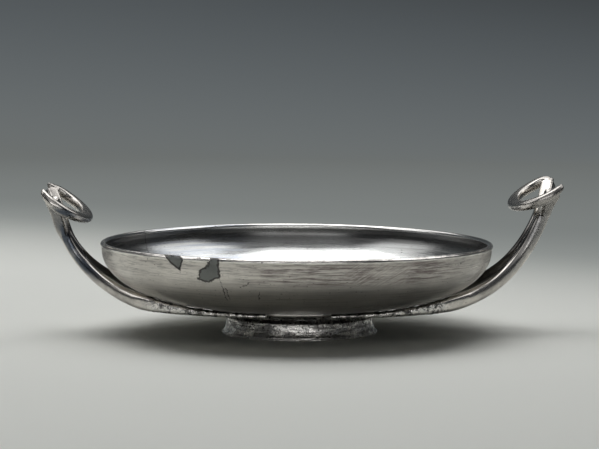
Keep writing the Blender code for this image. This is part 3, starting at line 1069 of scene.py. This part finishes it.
def lay_solder(made):
    """Lumps of old solder under the bowl, and the box of the solids kept to."""
    count = len(made.data.vertices) * 3
    points, normals = np.empty(count), np.empty(count)
    made.data.vertices.foreach_get("co", points)
    made.data.vertices.foreach_get("normal", normals)
    points, normals = points.reshape(-1, 3), normals.reshape(-1, 3)
    out = np.abs(points[:, 0] - BOWL_AXIS_X)
    share = np.clip((LIFT_OFF + SOLDER_PAST_LIFT_OFF - out) / SOLDER_FADE, 0.0, 1.0)
    share[points[:, 2] > RIM_HEIGHT / 2] = 0.0
    for index in np.nonzero(share)[0]:
        lump = noise.fractal(Vector(points[index]) * SOLDER_GRAIN, 1.0, 2.0, 3)
        points[index] += normals[index] * lump * SOLDER_LUMPS * share[index]
    points = np.clip(points, np.array(cad_low), np.array(cad_high))
    made.data.vertices.foreach_set("co", points.ravel())
    made.data.update()


def drop_specks(mesh):
    """Deletes the loose specks left where the bars of a casting were joined."""
    edit = bmesh.new()
    edit.from_mesh(mesh)
    edit.verts.index_update()
    seen = bytearray(len(edit.verts))
    specks = []
    for first in edit.verts:
        if seen[first.index]:
            continue
        seen[first.index] = 1
        part = [first]
        for corner in part:
            for edge in corner.link_edges:
                other = edge.other_vert(corner)
                if not seen[other.index]:
                    seen[other.index] = 1
                    part.append(other)
        if len(part) < SPECK_POINTS:
            specks += part
    bmesh.ops.delete(edit, geom=specks, context="VERTS")
    edit.to_mesh(mesh)
    edit.free()


def build_handle(h, material):
    """The loop and both arms, joined into one casting."""
    bars = (
        (loop_stations(h), loop_normal(h), False),
        (arm_stations(h, -1), Vector((0, 0, 1)), True),
        (arm_stations(h, 1), Vector((0, 0, 1)), True),
    )
    points, faces = [], []
    for stations, up, seated in bars:
        start = len(points)
        more, more_faces = swept(stations, up, h["side"], seated)
        points += more
        faces += [tuple(start + corner for corner in face) for face in more_faces]
    name = h["name"] + "_casting"
    casting = place(name, points, faces, [material])
    casting.data.transform(
        Matrix.Translation((BOWL_AXIS_X, 0, 0)) @ Matrix.Rotation(BOWL_LEAN, 4, "Y")
    )
    edit = bmesh.new()
    edit.from_mesh(casting.data)
    bmesh.ops.recalc_face_normals(edit, faces=edit.faces)
    edit.to_mesh(casting.data)
    edit.free()
    remesh = casting.modifiers.new("one_skin", "REMESH")
    remesh.mode = "VOXEL"
    remesh.voxel_size = SKIN_SIZE
    ease = casting.modifiers.new("ease", "SMOOTH")
    ease.factor = 0.5
    ease.iterations = SKIN_EASING
    bpy.context.view_layer.update()
    skin = bpy.data.meshes.new_from_object(
        casting.evaluated_get(bpy.context.evaluated_depsgraph_get())
    )
    casting.modifiers.clear()
    casting.data = skin
    skin.name = name
    drop_specks(skin)
    skin.shade_smooth()
    lay_solder(casting)
    return casting


bowl = build_bowl(bowl_silver("bowl_outside", False), bowl_silver("bowl_inside", True))
foot = build_foot(foot_silver("foot_metal"))
handle_metal = handle_silver("handle_metal")
left = build_handle(LEFT, handle_metal)
right = build_handle(RIGHT, handle_metal)
for piece, node in (
    (bowl, "bowl"),
    (foot, "foot"),
    (left, "handle_left"),
    (right, "handle_right"),
):
    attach(piece, "root")
    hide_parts(node)


# Studio

# The paper, in metres
PAPER_REACH = 2.4
PAPER_TOP = 1.6
PAPER_ROWS = 61
PAPER_COLUMNS = 31
COVE_START = 1.2
COVE_RADIUS = 0.5
COVE_STEPS = 40
PAPER_COLOUR = (0.83, 0.84, 0.795, 1.0)
PAPER_TINT = (1.0, 1.025, 0.965, 1.0)
PAPER_TINT_BEHIND = (1.0, 1.075, 1.05, 1.0)
PAPER_TINT_ABOVE = (1.0, 1.13, 1.21, 1.0)
ROOM_COLOUR = (0.045, 0.048, 0.052, 1.0)

# How far sideways the paper's painted shading leans, near the cup and far behind it
SLANT_NEAR = 0.87
SLANT_FAR = 0.12

# The camera, in metres; the focal length is in pixels of the photo
CAMERA_DISTANCE = 0.905
CAMERA_HEIGHT = 0.1165
CAMERA_AZIMUTH = math.radians(-1.25)
CAMERA_PITCH = math.radians(4.735)
FOCAL_PIXELS = 2365.0
PHOTO_WIDTH = 599.0
SENSOR_WIDTH = 36.0


def area_light(name, place_at, look_at, width, depth, power):
    data = bpy.data.lights.new(name, "AREA")
    data.shape = "RECTANGLE"
    data.size = width
    data.size_y = depth
    data.energy = power
    made = bpy.data.objects.new(name, data)
    made.location = place_at
    heading = Vector(look_at) - Vector(place_at)
    made.rotation_euler = heading.to_track_quat("-Z", "Y").to_euler()
    scene.collection.objects.link(made)
    return made


def held(s, value, most):
    """A value kept between 0 and the most it may be."""
    return s.math("MINIMUM", s.math("MAXIMUM", value, 0.0), most)


def sweep_material():
    """Pale paper under the cup, lit by the lamps; behind it the paper glows, painted light
    falling off to dark grey.
    """
    s = Shader("paper_sweep")
    slant = s.ramp(s.y, 0.35, 1.60, SLANT_NEAR, SLANT_FAR)
    behind = s.math("ADD", s.y, s.math("MULTIPLY", s.x, slant))
    near = s.ramp(behind, 0.05, 0.65)
    far = held(s, s.math("SUBTRACT", behind, 0.65), 0.58)
    above = held(s, s.math("SUBTRACT", behind, 1.2), 0.42)
    light = s.math("MULTIPLY_ADD", near, -0.22, 0.42)
    light = s.math("MULTIPLY_ADD", far, -0.086, light)
    light = s.math("SUBTRACT", light, s.times(above, above, 0.60))
    tint = s.mix(near, PAPER_TINT, PAPER_TINT_BEHIND)
    tint = s.mix(s.times(above, 2.9), tint, PAPER_TINT_ABOVE)
    # painted light: the paper behind the cup glows rather than being lit
    glow = s.tree.nodes.new("ShaderNodeEmission")
    s.plug(glow.inputs["Color"], tint)
    s.plug(glow.inputs["Strength"], light)
    paper = s.tree.nodes.new("ShaderNodeBsdfDiffuse")
    paper.inputs["Color"].default_value = PAPER_COLOUR
    blend = s.tree.nodes.new("ShaderNodeMixShader")
    s.plug(blend.inputs[0], s.ramp(behind, 0.10, 0.45))
    s.plug(blend.inputs[1], paper.outputs[0])
    s.plug(blend.inputs[2], glow.outputs[0])
    s.plug(s.output.inputs["Surface"], blend.outputs[0])
    return s.material


def build_sweep():
    """A paper sweep: flat under the cup, curving up behind it."""
    rows = [(y, 0.0) for y in np.linspace(-PAPER_REACH, COVE_START, PAPER_ROWS)]
    for step in range(1, COVE_STEPS + 1):
        angle = math.pi / 2 * step / COVE_STEPS
        rows.append(
            (
                COVE_START + COVE_RADIUS * math.sin(angle),
                COVE_RADIUS * (1 - math.cos(angle)),
            )
        )
    rows.append((COVE_START + COVE_RADIUS, PAPER_TOP))
    columns = np.linspace(-PAPER_REACH, PAPER_REACH, PAPER_COLUMNS)
    points = [(x, y, z) for y, z in rows for x in columns]
    faces = []
    for row in range(len(rows) - 1):
        for column in range(len(columns) - 1):
            start = row * len(columns) + column
            after = start + len(columns)
            faces.append((start, start + 1, after + 1, after))
    mesh = bpy.data.meshes.new("paper_sweep")
    mesh.from_pydata(points, [], faces)
    mesh.shade_smooth()
    mesh.materials.append(sweep_material())
    made = bpy.data.objects.new("paper_sweep", mesh)
    scene.collection.objects.link(made)


build_sweep()
# soft light from above, and cards that only the metal mirrors
area_light("overhead", (-0.15, 0.02, 1.10), (-0.05, 0, 0), 0.60, 0.90, 4.7)
area_light("overhead_back", (-0.06, 0.55, 1.02), (-0.02, 0, 0), 1.4, 1.0, 6.0)
for card in (
    area_light("right_card", (0.90, 0.02, 0.85), (0, 0, 0.03), 0.9, 0.9, 4.0),
    area_light("left_card", (-1.00, -0.10, 0.80), (0, 0, 0.03), 0.8, 0.8, 2.6),
    area_light("front_card", (-0.10, -1.00, 0.80), (0, 0, 0.03), 1.3, 0.80, 0.9),
    area_light("low_front_card", (-0.10, -1.60, 0.34), (0, 0, 0.02), 1.8, 0.34, 3.2),
):
    card.visible_diffuse = False

world = bpy.data.worlds.new("studio")
world.use_nodes = True
room = world.node_tree.nodes["Background"]
room.inputs["Color"].default_value = ROOM_COLOUR
room.inputs["Strength"].default_value = 1.0
scene.world = world

camera_data = bpy.data.cameras.new("camera")
camera_data.sensor_width = SENSOR_WIDTH
camera_data.lens = FOCAL_PIXELS / PHOTO_WIDTH * SENSOR_WIDTH
camera_data.clip_start = 0.01
camera_data.clip_end = 20.0
camera = bpy.data.objects.new("camera", camera_data)
camera.location = (
    FOOT_AXIS_X + CAMERA_DISTANCE * math.sin(CAMERA_AZIMUTH),
    -CAMERA_DISTANCE * math.cos(CAMERA_AZIMUTH),
    CAMERA_HEIGHT,
)
camera.rotation_euler = (math.pi / 2 - CAMERA_PITCH, 0.0, CAMERA_AZIMUTH)
scene.collection.objects.link(camera)
scene.camera = camera
scene.view_settings.view_transform = "Standard"
scene.view_settings.look = "None"
